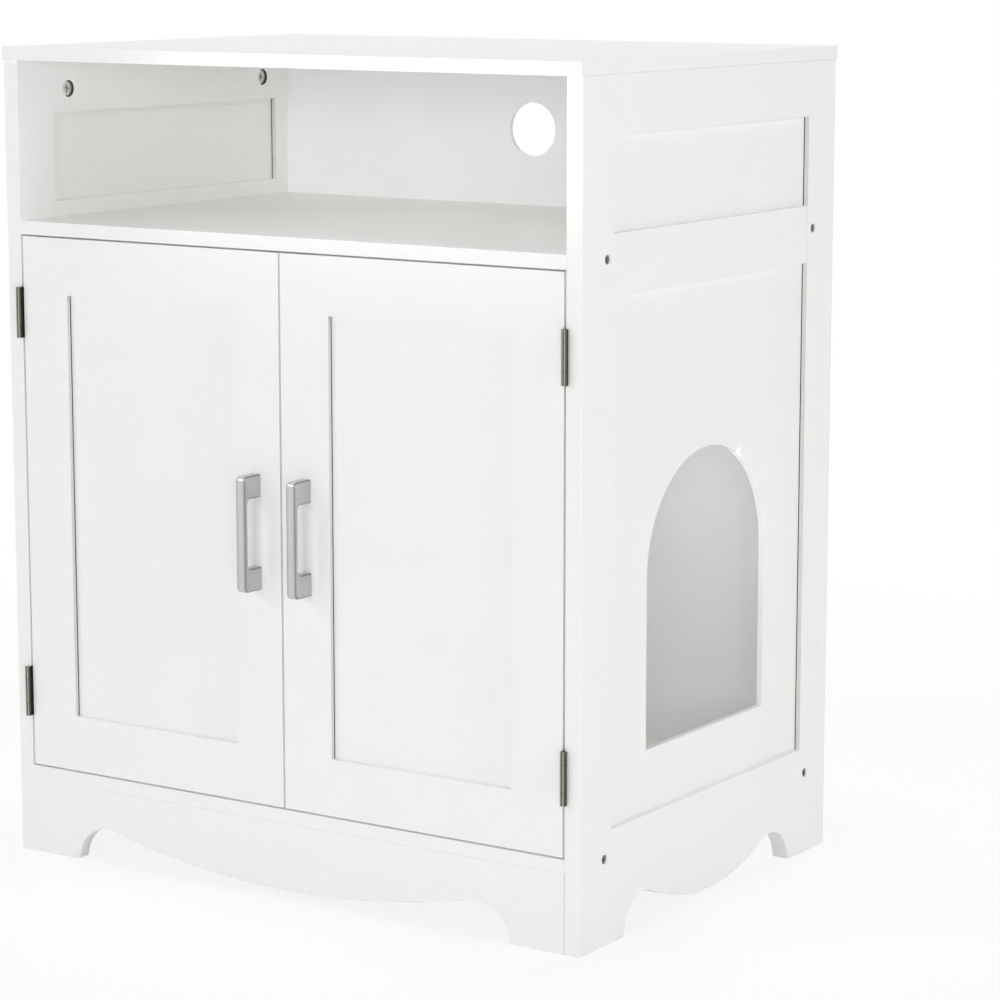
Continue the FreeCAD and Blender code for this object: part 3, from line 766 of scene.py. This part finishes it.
panel_screw = flat_headed_screw(head=4.0, shank=2.2, length=40.0)
back_screw = flat_headed_screw(head=2.75, shank=1.4, length=18.0)
short_screw = flat_headed_screw(head=2.75, shank=1.4, length=12.0)
door_hinge_screw = flat_headed_screw(head=2.75, shank=1.4, length=16.0)
catch_screw = flat_headed_screw(head=2.75, shank=1.4, length=10.0)
handle_screw = round_headed_screw(head=3.8, height=2.2, shank=2.0, length=27.2)

fixings = [
    ("cam_locks", cam_drum(), inwards, "cabinet", "cam_metal"),
    ("panel_screws", panel_screw, outwards, "cabinet", "dark_screws"),
    ("back_panel_screws", back_screw, backwards, "cabinet", "zinc_screws"),
    ("cabinet_hinge_screws", short_screw, inwards, "cabinet", "hinge_metal"),
    ("catch_screws", catch_screw, downwards, "cabinet", "zinc_screws"),
]
for side in ("left", "right"):
    door = side + "_door"
    fixings += [
        (door + "_hinge_screws", door_hinge_screw, outwards, door, "hinge_metal"),
        (door + "_handle_screws", handle_screw, backwards, door, "zinc_screws"),
        (door + "_strike_screw", short_screw, backwards, door, "zinc_screws"),
    ]
for node, mesh, outward_of, body, slot in fixings:
    group = set_in_places(node + "_detailed", mesh, heads_of(node, outward_of))
    new_piece(node + "_detailed", group, body, slot, [node])


# ---- Studio --------------------------------------------------------------------------------


def seen_directly(tree):
    """1 for rays that show a surface or the backdrop itself, or its mirror image; 0 for soft light."""
    path = add(tree, "ShaderNodeLightPath", {})
    mirrored = add(
        tree,
        "ShaderNodeMath",
        {"operation": "ADD", "use_clamp": True},
        {0: path.outputs["Is Glossy Ray"], 1: path.outputs["Is Transmission Ray"]},
    )
    return add(
        tree,
        "ShaderNodeMath",
        {"operation": "ADD", "use_clamp": True},
        {0: path.outputs["Is Camera Ray"], 1: mirrored.outputs["Value"]},
    ).outputs["Value"]


ambient_light = 0.2
floor_radius = 6.0
floor_fade_start = 0.75
floor_fade_end = 1.6
floor_drop = 0.4 * MM
# How far the floor beside the cabinet goes to white; the rest of it takes the shadow.
floor_whiteness = 0.84


def white_surroundings():
    """White where the backdrop is seen or mirrored, and a dim even light on the cabinet."""
    world = bpy.data.worlds.new("white_studio")
    bpy.context.scene.world = world
    world.use_nodes = True
    tree = world.node_tree
    tree.nodes.clear()
    white = add(tree, "ShaderNodeBackground", {"Color": shade("#FFFFFF"), "Strength": 1.0})
    soft = add(tree, "ShaderNodeBackground", {"Color": shade("#FFFFFF"), "Strength": ambient_light})
    both = add(
        tree,
        "ShaderNodeMixShader",
        {},
        {0: seen_directly(tree), 1: soft.outputs[0], 2: white.outputs[0]},
    )
    add(tree, "ShaderNodeOutputWorld", {}, {"Surface": both.outputs[0]})


def pale_floor():
    """A round floor that holds the cabinet's shadow and fades to the white backdrop further out."""
    bm = bmesh.new()
    bmesh.ops.create_circle(bm, cap_ends=True, segments=96, radius=floor_radius)
    bmesh.ops.translate(bm, verts=bm.verts, vec=(0, 0, -floor_drop))
    mesh = bpy.data.meshes.new("pale_floor")
    bm.to_mesh(mesh)
    bm.free()
    floor = bpy.data.objects.new("pale_floor", mesh)
    bpy.context.scene.collection.objects.link(floor)

    material, tree, shader = finish_named("pale_floor_paint", "#F2F2F2", 0.9)
    output = tree.nodes["Material Output"]
    white = add(tree, "ShaderNodeEmission", {"Color": shade("#FFFFFF"), "Strength": 1.0})
    place = add(tree, "ShaderNodeTexCoord", {})
    distance = add(
        tree, "ShaderNodeVectorMath", {"operation": "LENGTH"}, {0: place.outputs["Object"]}
    )
    fade = add(
        tree,
        "ShaderNodeMapRange",
        {
            "From Min": floor_fade_start,
            "From Max": floor_fade_end,
            "To Min": floor_whiteness,
            "To Max": 1.0,
        },
        {"Value": distance.outputs["Value"]},
    )
    share = add(
        tree,
        "ShaderNodeMath",
        {"operation": "MULTIPLY"},
        {0: fade.outputs["Result"], 1: seen_directly(tree)},
    )
    both = add(
        tree,
        "ShaderNodeMixShader",
        {},
        {0: share.outputs["Value"], 1: shader.outputs[0], 2: white.outputs[0]},
    )
    tree.links.new(both.outputs[0], output.inputs["Surface"])
    mesh.materials.append(material)


lamp_distance = 3.6
lamp_ring_height = 0.25
# Azimuth from the front towards the right, elevation, width, height, watts, mirrored in metal
SOFTBOXES = {
    "key": (-40, 24, 0.5, 0.5, 15, True),
    "front": (5, 6, 1.6, 0.8, 29, False),
    "right_front": (38, 4, 1.2, 0.8, 19, False),
    "right": (85, 12, 1.2, 1.2, 38, True),
    "rear": (180, 20, 1.6, 1.2, 50, False),
    "left": (-95, 12, 1.2, 1.2, 36, False),
    "top": (0, 88, 1.2, 1.2, 41, False),
}
# Small lamps that fill the two hollows: place, the point they face, width, height, watts
FILLS = {
    "compartment": ((0.08, -0.25, 0.66), (0.08, 0.19, 0.61), 0.42, 0.08, 0.1),
    "chamber": ((0.24, -0.05, 0.40), (-0.1, 0.1, 0.25), 0.25, 0.25, 0.2),
}


def softbox(name, place, target, width, height, watts, mirrored=False):
    """A soft rectangular lamp that the view doesn't show, and that metal mirrors only if told to."""
    light = bpy.data.lights.new(name + "_softbox", "AREA")
    light.shape = "RECTANGLE"
    light.size = width
    light.size_y = height
    light.energy = watts
    lamp = bpy.data.objects.new(name + "_softbox", light)
    lamp.location = place
    lamp.rotation_euler = (Vector(target) - Vector(place)).to_track_quat("-Z", "Y").to_euler()
    lamp.visible_camera = False
    lamp.visible_glossy = mirrored
    bpy.context.scene.collection.objects.link(lamp)


def on_ring(azimuth, elevation):
    """A point round the cabinet, at the lamps' distance."""
    turn = math.radians(azimuth)
    rise = math.radians(elevation)
    outward = Vector((math.cos(rise) * math.sin(turn), -math.cos(rise) * math.cos(turn), math.sin(rise)))
    return cabinet_middle + Vector((0, 0, lamp_ring_height)) + outward * lamp_distance


cabinet_middle = (cad_box[0] + cad_box[1]) / 2

white_surroundings()
pale_floor()
for name, (azimuth, elevation, *light_values) in SOFTBOXES.items():
    softbox(name, on_ring(azimuth, elevation), cabinet_middle, *light_values)
for name, values in FILLS.items():
    softbox(name, *values)


# ---- Camera --------------------------------------------------------------------------------

camera_place = (1.6896, -2.4111, 0.8257)
camera_azimuth = 33.57
camera_pitch = 9.72
camera_lens_mm = 119.88
sensor_width_mm = 36.0

scene = bpy.context.scene
camera = bpy.data.objects.new("camera", bpy.data.cameras.new("camera"))
scene.collection.objects.link(camera)
scene.camera = camera
camera.data.lens = camera_lens_mm
camera.data.sensor_width = sensor_width_mm
camera.location = camera_place
camera.rotation_euler = (math.radians(90 - camera_pitch), 0, math.radians(camera_azimuth))
camera.data.clip_start = 0.1
camera.data.clip_end = 50

scene.view_settings.view_transform = "Standard"
# Light goes from wall to wall many times inside a white compartment.
scene.cycles.diffuse_bounces = 12
